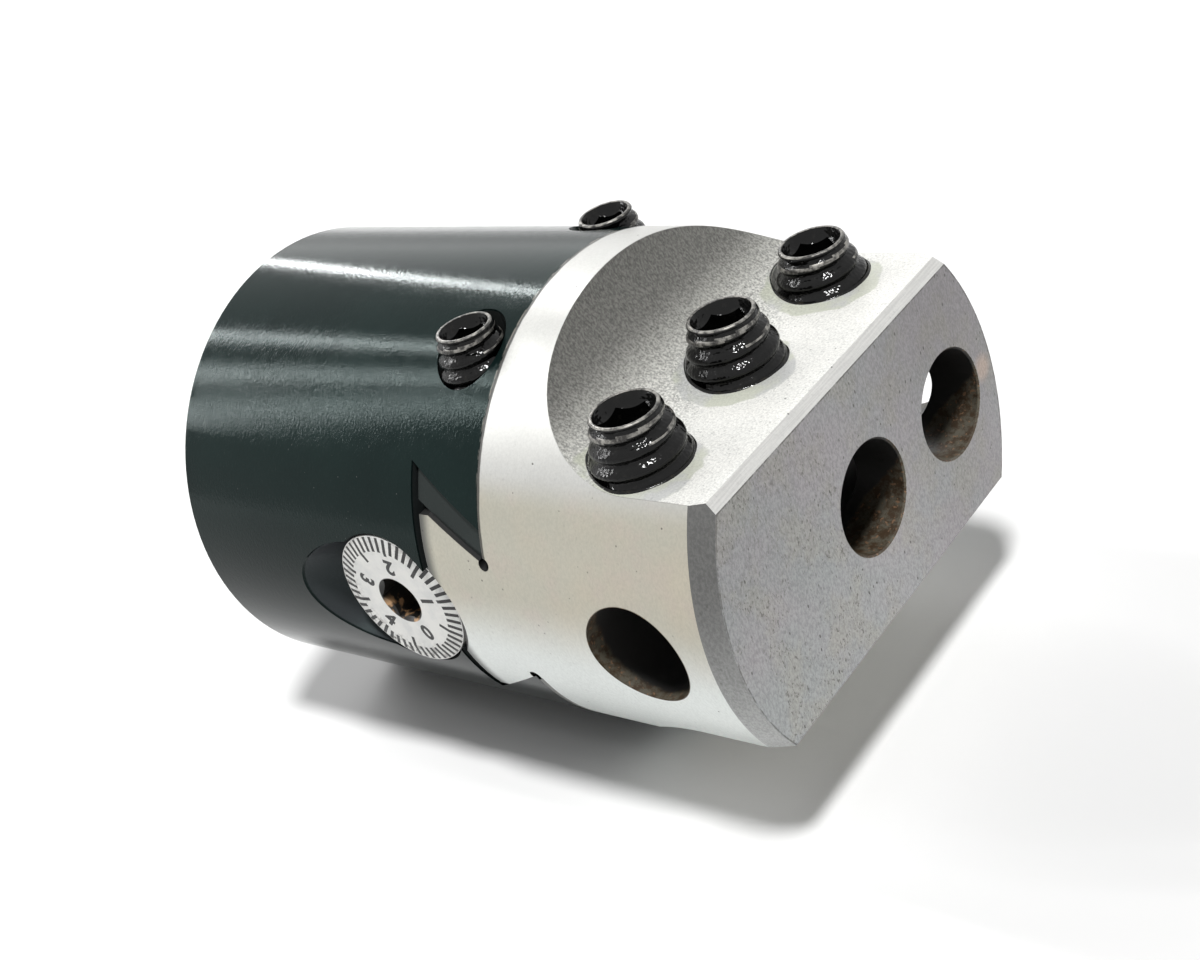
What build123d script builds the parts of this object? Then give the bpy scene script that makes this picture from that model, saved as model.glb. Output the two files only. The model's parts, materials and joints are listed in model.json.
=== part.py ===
from build123d import *
import math
import os

# A two-inch boring head lying as photographed. Millimetres.
# +X runs along the spindle axis from the arbor face to the tool face, the dial is on -Y and
# every set screw points up, +Z. The origin is the middle of the arbor face.

# Head, 2 in across
HEAD_R = 25.4
BODY_LENGTH = 45.4
SLIDE_FRONT = 27.4
RUN_GAP = 0.03

# Arbor thread, 7/8-20, bored to its minor diameter
ARBOR_R = 10.43
ARBOR_DEPTH = 20.0
ARBOR_CHAMFER = 0.8

# Dovetail, drawn in X and Z and running along Y
FLANK_LEAN = 30.0
DOVETAIL_DEPTH = 8.0
FLOOR_GAP = 1.0
LOWER_NECK_Z = -7.5
TIP_FLAT = 1.2
NECK_RELIEF_R = 0.65

# Gib, a strip between the upper flanks, and the metal that its screws go down through
GIB_T = 2.8
GIB_COVER = 10.06
GIB_END_GAP = 0.5

# Tool end of the slide
TOP_CUT = 11.3
BOTTOM_CUT = 12.8
SCALLOP_R = 12.7
SCALLOP_WALL = 5.2
FLAT_CHAMFER = 0.9
ARC_CHAMFER_R = 0.8
ARC_CHAMFER_X = 2.4

# Bores for boring bars, 7/16 in
BAR_R = 5.55625
BAR_FROM_RIM = 9.525
BAR_DEPTH = 22.0
BAR_CHAMFER = 0.2
CROSS_FROM_FACE = 11.0
CROSS_Z = -1.0

# Clamp screws, 3/8-16 with a long tapered head end and a 3/16 in hexagon
CLAMP_R = 4.7625
CLAMP_TOP_R = 3.35
CLAMP_TAPER = 4.4
CLAMP_LENGTH = 12.7
CLAMP_HEX = 4.7625
CLAMP_CUP = 0.7
CENTER_STANDS = 5.7
OFFSET_STANDS = 4.3
CROSS_STANDS = 5.7

# Gib screws, 5/16-18 with a dog point and a 5/32 in hexagon
GIB_SCREW_R = 3.96875
GIB_SCREW_TOP_R = 3.15
GIB_SCREW_TAPER = 2.6
GIB_SCREW_HEX = 3.96875
GIB_SCREW_FROM_JOINT = 4.8
GIB_SCREW_Y = 11.6
GIB_NEAR_STANDS = 2.1
GIB_FAR_STANDS = 1.5
DOG_R = 1.5
DOG_GAP = 0.1
DOG_SUNK = 1.2
DOG_SHOULDER_GAP = 0.4
HEX_DEPTH = 3.6

# Feed screw, 1/4-40, in one piece with its dial, which has a 3/16 in hexagon
FEED_R = 3.175
FEED_FROM_FLOOR = 6.5
FEED_Z = -0.5
DIAL_R = 7.95
DIAL_SUNK = 0.9
DIAL_T = 4.5
DIAL_BEVEL_R = 1.6
DIAL_BEVEL_Y = 0.3
DIAL_HEX = 4.7625
DIAL_HEX_MOUTH = 0.05
DIAL_GAP = 0.3
POCKET_FLARE = 50.0
FEED_END_R = 2.2
FEED_END_LENGTH = 6.0
FEED_END_GAP = 0.5
FEED_NECK_R = 2.1

# Scoop that opens the dial's pocket towards the arbor, cut with a leaning cutter
SCOOP_R = 7.0
SCOOP_REACH = 13.85
SCOOP_LEAN = 45.0

# Feed nut pressed into the slide, and the slot in the body that it travels in
TRAVEL = 15.875
NUT_WIDTH = 9.525
NUT_LENGTH = 10.0
NUT_START_Y = -12.0
NUT_STEM_R = 3.0
NUT_STEM_LENGTH = 6.0
STEM_END_GAP = 0.3
SLOT_GAP = 0.4

# Pin that keeps the feed screw in the body
PIN_R = 1.25
PIN_LENGTH = 11.5
PIN_SUNK = 0.3
PIN_SIDE_GAP = 0.05

OVERALL = BODY_LENGTH + SLIDE_FRONT
JOINT_X = BODY_LENGTH
SLIDE_BACK_X = JOINT_X + RUN_GAP
BASE_X = JOINT_X - DOVETAIL_DEPTH
FLOOR_X = BASE_X - FLOOR_GAP
LEAN_TAN = math.tan(math.radians(FLANK_LEAN))
LEAN_COS = math.cos(math.radians(FLANK_LEAN))
GIB_X = JOINT_X - GIB_SCREW_FROM_JOINT
GIB_SURFACE_Z = math.sqrt(HEAD_R**2 - GIB_SCREW_Y**2)
BODY_LOWER_Z = LOWER_NECK_Z - RUN_GAP
BODY_UPPER_Z = GIB_SURFACE_Z - GIB_COVER - GIB_SCREW_FROM_JOINT * LEAN_TAN
GIB_INNER_Z = BODY_UPPER_Z - GIB_T / LEAN_COS
UPPER_NECK_Z = GIB_INNER_Z - RUN_GAP

FEED_X = FLOOR_X - FEED_FROM_FLOOR
DIAL_FACE_Y = DIAL_SUNK - HEAD_R
DIAL_RIM_Y = DIAL_FACE_Y + DIAL_BEVEL_Y
DIAL_BACK_Y = DIAL_FACE_Y + DIAL_T
POCKET_FLOOR_Y = DIAL_BACK_Y + RUN_GAP
POCKET_R = DIAL_R + DIAL_GAP
NUT_END_Y = NUT_START_Y + NUT_LENGTH
NUT_MIDDLE_Y = (NUT_START_Y + NUT_END_Y) / 2
SLOT_START_Y = NUT_START_Y - SLOT_GAP
SLOT_END_Y = NUT_END_Y + TRAVEL + SLOT_GAP
PIN_Y = (POCKET_FLOOR_Y + SLOT_START_Y) / 2
PIN_Z = FEED_Z + FEED_NECK_R + PIN_R + RUN_GAP
PIN_END_X = FLOOR_X - PIN_SUNK

FLAT_TOP = HEAD_R - TOP_CUT
FLAT_BOTTOM = BOTTOM_CUT - HEAD_R
BAR_PITCH = HEAD_R - BAR_FROM_RIM
CROSS_X = OVERALL - CROSS_FROM_FACE

# A length that is sure to pass right through the head, and an overshoot for open ends of cuts
THROUGH = 2 * HEAD_R
OVER = 1.0


def lower_flank(neck_z, x):
    return neck_z - (JOINT_X - x) * LEAN_TAN


def upper_flank(neck_z, x):
    return neck_z + (JOINT_X - x) * LEAN_TAN


def rod_x(radius, x0, x1, y=0.0, z=0.0):
    return Pos(x0, y, z) * extrude(Plane.YZ * Circle(radius), x1 - x0)


def rod_y(radius, y0, y1, x, z):
    start = Plane((x, y0, z), x_dir=(1, 0, 0), z_dir=(0, 1, 0))
    return extrude(start * Circle(radius), y1 - y0)


def rod_z(radius, z0, z1, x, y):
    return Pos(x, y, z0) * extrude(Circle(radius), z1 - z0)


def across(*points):
    """A section drawn in X and Z, carried right across the head along Y."""
    return extrude(Plane.XZ * make_face(Polyline(*points, close=True)), THROUGH, both=True)


def turned_x(*points):
    """A piece turned about the spindle axis, its profile given as x, radius."""
    return revolve(Plane.XZ * make_face(Polyline(*points, close=True)), Axis.X)


def turned_y(x, z, *points):
    """A piece turned about a line along Y, its profile given as radius, y."""
    return Pos(x, 0, z) * revolve(make_face(Polyline(*points, close=True)), Axis.Y)


def turned_z(x, y, *points):
    """A piece turned about a line along Z, its profile given as radius, z."""
    return Pos(x, y, 0) * revolve(Plane.XZ * make_face(Polyline(*points, close=True)), Axis.Z)


def hex_socket(plane, flats):
    """A hexagon socket going down from a plane."""
    return extrude(plane * RegularPolygon(flats / 2, 6, major_radius=False), -HEX_DEPTH)


def make_body():
    body = rod_x(HEAD_R, 0, BODY_LENGTH)
    body -= across(
        (FLOOR_X, lower_flank(BODY_LOWER_Z, FLOOR_X)),
        (JOINT_X + OVER, lower_flank(BODY_LOWER_Z, JOINT_X + OVER)),
        (JOINT_X + OVER, upper_flank(BODY_UPPER_Z, JOINT_X + OVER)),
        (FLOOR_X, upper_flank(BODY_UPPER_Z, FLOOR_X)),
    )
    body -= rod_x(ARBOR_R, -OVER, ARBOR_DEPTH)
    body -= turned_x((0, 0), (0, ARBOR_R + ARBOR_CHAMFER), (ARBOR_CHAMFER, ARBOR_R), (ARBOR_CHAMFER, 0))

    # Dial pocket and the scoop beside it
    body -= rod_y(POCKET_R, -THROUGH, POCKET_FLOOR_Y, FEED_X, FEED_Z)
    lean = math.radians(SCOOP_LEAN)
    scoop_x = FEED_X - SCOOP_REACH + SCOOP_R * math.cos(lean)
    scoop_y = -HEAD_R - SCOOP_R * math.sin(lean)
    cutter_end = Plane((scoop_x, scoop_y, FEED_Z), x_dir=(0, 0, 1), z_dir=(math.sin(lean), math.cos(lean), 0))
    scoop = extrude(cutter_end * Circle(SCOOP_R), HEAD_R, both=True)
    outside = Pos(FEED_X, POCKET_FLOOR_Y - THROUGH, FEED_Z) * Box(2 * THROUGH, 2 * THROUGH, THROUGH)
    body -= scoop & outside

    # Bearings of the feed screw and the slot of its nut, round at the bottom
    slot_r = NUT_WIDTH / 2 + SLOT_GAP
    slot_middle_y = (SLOT_START_Y + SLOT_END_Y) / 2
    slot_length = SLOT_END_Y - SLOT_START_Y
    from_left = (Align.MIN, Align.CENTER, Align.CENTER)
    slot_top = Box(FEED_FROM_FLOOR + OVER, slot_length, 2 * slot_r, align=from_left)
    slot_top = Pos(FEED_X, slot_middle_y, FEED_Z) * slot_top
    end_y = SLOT_END_Y + FEED_END_LENGTH + FEED_END_GAP
    body -= rod_y(FEED_R + RUN_GAP, POCKET_FLOOR_Y - OVER, SLOT_START_Y + OVER, FEED_X, FEED_Z)
    body -= rod_y(slot_r, SLOT_START_Y, SLOT_END_Y, FEED_X, FEED_Z)
    body -= slot_top
    body -= rod_y(FEED_END_R + RUN_GAP, SLOT_END_Y - OVER, end_y, FEED_X, FEED_Z)
    body -= rod_x(PIN_R, PIN_END_X - PIN_LENGTH, FLOOR_X + OVER, PIN_Y, PIN_Z)

    for side in (-1, 1):
        body -= rod_z(GIB_SCREW_R + RUN_GAP, 0, THROUGH, GIB_X, side * GIB_SCREW_Y)
    return body


def make_slide():
    slide = rod_x(HEAD_R, SLIDE_BACK_X, OVERALL)
    slide -= turned_x(
        (OVERALL - ARC_CHAMFER_X, HEAD_R), (OVERALL, HEAD_R - ARC_CHAMFER_R), (OVERALL, HEAD_R + OVER),
        (OVERALL - ARC_CHAMFER_X, HEAD_R + OVER))

    # Flats above and below, each ending in the scallop that a one-inch cutter leaves
    wall_x = JOINT_X + SCALLOP_WALL
    turn_x = wall_x + SCALLOP_R
    for flat, side in ((FLAT_TOP, 1), (FLAT_BOTTOM, -1)):
        turn_z = flat + side * SCALLOP_R
        far_z = side * THROUGH
        slide -= rod_y(SCALLOP_R, -THROUGH, THROUGH, turn_x, turn_z)
        slide -= across((turn_x, flat), (OVERALL + OVER, flat), (OVERALL + OVER, far_z), (turn_x, far_z))
        slide -= across((wall_x, turn_z), (turn_x, turn_z), (turn_x, far_z), (wall_x, far_z))
    slide -= across(
        (OVERALL - FLAT_CHAMFER, FLAT_TOP), (OVERALL, FLAT_TOP - FLAT_CHAMFER),
        (OVERALL + OVER, FLAT_TOP - FLAT_CHAMFER), (OVERALL + OVER, FLAT_TOP))

    # Dovetail, its two tips cut flat and the corners of its neck relieved
    tip_x = BASE_X + TIP_FLAT
    low_tip_z = lower_flank(LOWER_NECK_Z, tip_x)
    high_tip_z = upper_flank(UPPER_NECK_Z, tip_x)
    dovetail = across(
        (BASE_X, low_tip_z), (tip_x, low_tip_z), (JOINT_X, LOWER_NECK_Z), (JOINT_X + OVER, LOWER_NECK_Z),
        (JOINT_X + OVER, UPPER_NECK_Z), (JOINT_X, UPPER_NECK_Z), (tip_x, high_tip_z), (BASE_X, high_tip_z))
    slide += dovetail & rod_x(HEAD_R, 0, OVERALL)
    for neck_z in (LOWER_NECK_Z, UPPER_NECK_Z):
        slide -= rod_y(NECK_RELIEF_R, -THROUGH, THROUGH, JOINT_X, neck_z)

    # Room for the dial, flared above its rim so that its marks can be read from the tool end
    slide -= rod_y(POCKET_R, -THROUGH, POCKET_FLOOR_Y + DIAL_GAP, FEED_X, FEED_Z)
    flare_r = POCKET_R + (DIAL_RIM_Y + THROUGH) * math.tan(math.radians(POCKET_FLARE))
    slide -= turned_y(
        FEED_X, FEED_Z, (0, DIAL_RIM_Y), (POCKET_R, DIAL_RIM_Y), (flare_r, -THROUGH), (0, -THROUGH))

    # Bar bores with broken edges
    edge_x = OVERALL - BAR_CHAMFER
    broken_edge = turned_x((edge_x, 0), (edge_x, BAR_R), (OVERALL, BAR_R + BAR_CHAMFER), (OVERALL, 0))
    for y in (0.0, BAR_PITCH):
        slide -= rod_x(BAR_R, OVERALL - BAR_DEPTH, OVERALL + OVER, y)
        slide -= Pos(0, y, 0) * broken_edge
    slide -= rod_y(BAR_R, -THROUGH, THROUGH, CROSS_X, CROSS_Z)

    for y in (0.0, BAR_PITCH, -BAR_PITCH):
        slide -= rod_z(CLAMP_R + RUN_GAP, 0, THROUGH, CROSS_X, y)
    slide -= rod_x(NUT_STEM_R, BASE_X, BASE_X + NUT_STEM_LENGTH + STEM_END_GAP, NUT_MIDDLE_Y, FEED_Z)
    return slide


def make_gib():
    low_x = FLOOR_X + GIB_END_GAP
    high_x = JOINT_X - GIB_END_GAP
    gib = across(
        (low_x, upper_flank(GIB_INNER_Z, low_x)), (high_x, upper_flank(GIB_INNER_Z, high_x)),
        (high_x, upper_flank(BODY_UPPER_Z, high_x)), (low_x, upper_flank(BODY_UPPER_Z, low_x)))
    gib &= rod_x(HEAD_R - GIB_END_GAP, 0, OVERALL)
    seat_z = upper_flank(BODY_UPPER_Z, GIB_X) - DOG_SUNK
    for side in (-1, 1):
        gib -= rod_z(DOG_R + DOG_GAP, seat_z, THROUGH, GIB_X, side * GIB_SCREW_Y)
    return gib


def make_clamp_screw(y, stands):
    top = FLAT_TOP + stands
    tip = top - CLAMP_LENGTH
    screw = turned_z(
        CROSS_X, y,
        (0, tip), (CLAMP_R - CLAMP_CUP, tip), (CLAMP_R, tip + CLAMP_CUP), (CLAMP_R, top - CLAMP_TAPER),
        (CLAMP_TOP_R, top), (0, top))
    return screw - hex_socket(Plane((CROSS_X, y, top)), CLAMP_HEX)


def make_gib_screw(y, stands):
    top = GIB_SURFACE_Z + stands
    seat_z = upper_flank(BODY_UPPER_Z, GIB_X) - DOG_SUNK
    shoulder_z = upper_flank(BODY_UPPER_Z, GIB_X - GIB_SCREW_R) + DOG_SHOULDER_GAP
    screw = turned_z(
        GIB_X, y,
        (0, seat_z), (DOG_R, seat_z), (DOG_R, shoulder_z), (GIB_SCREW_R, shoulder_z),
        (GIB_SCREW_R, top - GIB_SCREW_TAPER), (GIB_SCREW_TOP_R, top), (0, top))
    return screw - hex_socket(Plane((GIB_X, y, top)), GIB_SCREW_HEX)


def make_feed_screw():
    end_y = SLOT_END_Y + FEED_END_LENGTH
    shoulder_y = SLOT_END_Y - RUN_GAP
    neck_half = PIN_R + PIN_SIDE_GAP
    screw = turned_y(
        FEED_X, FEED_Z,
        (0, DIAL_FACE_Y), (DIAL_R - DIAL_BEVEL_R, DIAL_FACE_Y), (DIAL_R, DIAL_RIM_Y),
        (DIAL_R, DIAL_BACK_Y), (FEED_R, DIAL_BACK_Y), (FEED_R, PIN_Y - neck_half),
        (FEED_NECK_R, PIN_Y - neck_half), (FEED_NECK_R, PIN_Y + neck_half), (FEED_R, PIN_Y + neck_half),
        (FEED_R, shoulder_y), (FEED_END_R, shoulder_y), (FEED_END_R, end_y), (0, end_y))
    face = Plane((FEED_X, DIAL_FACE_Y, FEED_Z), x_dir=(1, 0, 0), z_dir=(0, -1, 0))
    screw -= hex_socket(face, DIAL_HEX)
    mouth_r = DIAL_HEX / 2 / math.cos(math.pi / 6) + DIAL_HEX_MOUTH
    return screw - turned_y(
        FEED_X, FEED_Z, (0, DIAL_FACE_Y), (mouth_r, DIAL_FACE_Y), (0, DIAL_FACE_Y + mouth_r))


def make_feed_nut():
    block = Pos(FEED_X, NUT_MIDDLE_Y, FEED_Z) * Box(
        BASE_X - FEED_X, NUT_LENGTH, NUT_WIDTH, align=(Align.MIN, Align.CENTER, Align.CENTER))
    nut = block + rod_y(NUT_WIDTH / 2, NUT_START_Y, NUT_END_Y, FEED_X, FEED_Z)
    nut += rod_x(NUT_STEM_R, BASE_X - OVER, BASE_X + NUT_STEM_LENGTH, NUT_MIDDLE_Y, FEED_Z)
    return nut - rod_y(FEED_R + RUN_GAP, NUT_START_Y - OVER, NUT_END_Y + OVER, FEED_X, FEED_Z)


NODES = {
    "body": make_body(),
    "slide": make_slide(),
    "gib": make_gib(),
    "feed_screw": make_feed_screw(),
    "feed_nut": make_feed_nut(),
    "keeper_pin": rod_x(PIN_R, PIN_END_X - PIN_LENGTH, PIN_END_X, PIN_Y, PIN_Z),
    "clamp_screw_center": make_clamp_screw(0.0, CENTER_STANDS),
    "clamp_screw_offset": make_clamp_screw(BAR_PITCH, OFFSET_STANDS),
    "clamp_screw_cross": make_clamp_screw(-BAR_PITCH, CROSS_STANDS),
    "gib_screw_near": make_gib_screw(-GIB_SCREW_Y, GIB_NEAR_STANDS),
    "gib_screw_far": make_gib_screw(GIB_SCREW_Y, GIB_FAR_STANDS),
}

os.makedirs("parts", exist_ok=True)
for name, shape in NODES.items():
    export_step(shape, f"parts/{name}.step")
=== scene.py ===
import json
import math

import bpy
from mathutils import Matrix, Vector


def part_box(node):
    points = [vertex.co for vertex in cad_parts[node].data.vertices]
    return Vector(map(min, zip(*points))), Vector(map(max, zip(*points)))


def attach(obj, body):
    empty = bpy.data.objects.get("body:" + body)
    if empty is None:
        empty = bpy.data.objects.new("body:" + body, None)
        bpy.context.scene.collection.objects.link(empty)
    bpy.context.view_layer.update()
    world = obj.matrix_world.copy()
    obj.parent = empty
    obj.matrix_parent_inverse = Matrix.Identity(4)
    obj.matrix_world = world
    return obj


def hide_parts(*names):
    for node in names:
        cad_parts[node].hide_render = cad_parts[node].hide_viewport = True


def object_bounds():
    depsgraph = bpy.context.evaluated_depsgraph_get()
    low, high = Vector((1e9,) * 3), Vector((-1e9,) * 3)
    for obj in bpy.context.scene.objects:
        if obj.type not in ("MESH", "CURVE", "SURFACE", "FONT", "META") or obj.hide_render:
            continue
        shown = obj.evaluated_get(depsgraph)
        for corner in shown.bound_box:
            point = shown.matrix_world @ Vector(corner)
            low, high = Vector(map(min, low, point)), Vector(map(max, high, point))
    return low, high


# A two-inch boring head on a white table. The frame is in metres: +X runs from the arbor face to the
# tool face, the dial is on -Y and the set screws point up.

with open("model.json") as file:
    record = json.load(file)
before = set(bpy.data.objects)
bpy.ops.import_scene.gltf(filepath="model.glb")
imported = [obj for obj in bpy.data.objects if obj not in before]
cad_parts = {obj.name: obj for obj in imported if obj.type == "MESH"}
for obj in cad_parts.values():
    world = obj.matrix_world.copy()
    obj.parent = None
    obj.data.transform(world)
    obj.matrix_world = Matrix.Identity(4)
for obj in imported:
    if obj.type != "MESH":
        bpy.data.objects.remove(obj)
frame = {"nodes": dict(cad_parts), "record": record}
cad_low, cad_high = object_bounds()
nodes = frame["nodes"]

MM = 0.001

# Camera, fitted to the photograph
CAMERA_AZIMUTH = 48.218
CAMERA_ELEVATION = 29.143
CAMERA_ROLL = -21.676
CAMERA_TARGET = Vector((37.76, -0.05, -1.88)) * MM
CAMERA_DISTANCE = 188.73 * MM
CAMERA_LENS = 52.638
SENSOR_WIDTH = 36.0
CAMERA_CLIP_START = 0.005

# Light: a weak sky, a soft sun above, a window behind and ceiling tubes that streak the body.
# Window and tubes light the table only near the head, so further out it is lifted where it is seen.
SKY = 0.08
SUN = 2.55
SUN_WIDTH = 9.0
SUN_DISTANCE = 1.0
SUN_DIRECTION = (0.25, -0.16, 1.0)
TUBE_DIRECTIONS = ((-0.72, 0.43, 0.54), (-0.77, -0.03, 0.64), (-0.77, -0.24, 0.60), (-0.76, -0.40, 0.50))
TUBE_DISTANCE = 0.8
TUBE_WIDTH = 0.02
TUBE_LENGTH = 0.36
TUBE_POWER = 0.75
WINDOW_DIRECTION = (-0.56, 0.65, 0.51)
WINDOW_DISTANCE = 0.8
WINDOW_SIZE = 0.55
WINDOW_POWER = 0.8
TABLE_REACH = 6.0
TABLE_WHITE_FROM = 0.25
TABLE_WHITE_TO = 0.7
TABLE_LIFT = 0.25

# Places on the head that the looks depend on
HEAD_R = cad_high.z
JOINT_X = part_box("body")[1].x
DOVETAIL_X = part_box("slide")[0].x
GROOVE_X = DOVETAIL_X - 1.0 * MM
FACE_X = cad_high.x
FLAT_Z = 14.1 * MM
FLAT_CHAMFER = 0.9 * MM
SCALLOP_R = 12.7 * MM
SCALLOP_END_X = JOINT_X + 5.2 * MM + SCALLOP_R
BAR_R = 5.556 * MM
FACE_MOUTH = 0.19 * MM
SIDE_MOUTH = 0.06 * MM
CROSS_Z = -1.0 * MM
NECK_LOW_Z = -7.5 * MM
NECK_HIGH_Z = 6.5 * MM
PEACH_STAIN = Vector((0, 22.6, 0.0)) * MM
FILM_SHADOW_SHIFT = Vector((0.8, -1.2, 0)) * MM
ARBOR_R = 10.43 * MM
ARBOR_START_X = 0.8 * MM
ARBOR_END_X = 20.0 * MM
ARBOR_PITCH = 1.27 * MM
# Section of the arbor thread: along X in pitches, and outwards from the socket's wall in millimetres
ARBOR_SECTION = ((-0.42, 0.05), (-0.1, -0.36), (0.1, -0.36), (0.42, 0.05))

CLAMP_SCREWS = {
    "clamp_screw_center": "center_clamp",
    "clamp_screw_offset": "offset_clamp",
    "clamp_screw_cross": "cross_clamp",
}
GIB_SCREWS = {"gib_screw_near": "near_gib_screw", "gib_screw_far": "far_gib_screw"}

# Set screws: pitch, radius of the top ring, length of the tapered end, hexagon across its flats
CLAMP_FORM = {"pitch": 1.5875 * MM, "ring_r": 3.35 * MM, "taper": 4.4 * MM, "flats": 4.7625 * MM}
GIB_FORM = {"pitch": 1.411 * MM, "ring_r": 2.85 * MM, "taper": 4.5 * MM, "flats": 3.96875 * MM}
SIDES = 72
ROWS_PER_PITCH = 10
# Thread: depth in pitches, share that oil leaves open low down, gap to the top, share taken as crest
THREAD_DEPTH = 0.42
THREAD_FILLED = 0.7
THREAD_TOP_GAP = 0.25 * MM
CREST_SHARE = 0.06
# Rounded corner of the top ring, in millimetres inwards and down
LIP_PROFILE = ((0.0, 0.14), (0.05, 0.04), (0.14, 0.0))
MOUTH_EDGE = 0.05 * MM
MOUTH_TAPER = 0.12 * MM
MOUTH_DEPTH = 0.9 * MM
HEX_DEPTH = 3.55 * MM
HEX_CONE = 0.15 * MM
LIP = 0.36 * MM
SCREW_GAP = 0.03 * MM
DOG_R = 1.5 * MM
DOG_LENGTH = 3.9 * MM

# Oil round a clamp screw: share of its width and rise, then its mean width and waver, in millimetres
OIL_PROFILE = ((0.0, 0.22), (0.12, 0.15), (0.3, 0.09), (0.6, 0.04), (1.0, 0.0))
OIL_WIDTH = 0.22
OIL_WAVER = 0.05
OIL_SUNK = 0.01 * MM
OIL_TURN = 2.1

# Dial: 50 divisions, figures against the clock from the zero, their tops to the middle
DIAL_DIVISIONS = 50
DIAL_ZERO = -64.0
DIAL_BEVEL_R = 1.6 * MM
DIAL_BEVEL_Y = 0.3 * MM
SOCKET_R = 2.8 * MM
MARK_UNIT_R = 6.2 * MM
MARK_TEN_R = 5.85 * MM
MARK_FIVE_R = 5.1 * MM
MARK_END = 0.1 * MM
MARK_WIDTH = 0.40 * MM
MARK_RISE = 0.006 * MM
FIGURE_R = 4.45 * MM
FIGURE_SIZE = 2.5 * MM
FIGURE_BOLD = 0.10 * MM
FIGURES = 5

DARK_SPECK = (0.13, 0.125, 0.115)


def new_piece(name, verts, faces, materials, body):
    """A mesh piece that rides on a body of the frame."""
    mesh = bpy.data.meshes.new(name)
    mesh.from_pydata(verts, [], faces)
    mesh.update()
    for material in materials:
        mesh.materials.append(material)
    piece = bpy.data.objects.new(name, mesh)
    bpy.context.scene.collection.objects.link(piece)
    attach(piece, body)
    return piece


def smooth(mesh, angle=35):
    """Smooth shading that keeps the sharp edges."""
    for polygon in mesh.polygons:
        polygon.use_smooth = True
    mesh.set_sharp_from_angle(angle=math.radians(angle))


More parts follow.
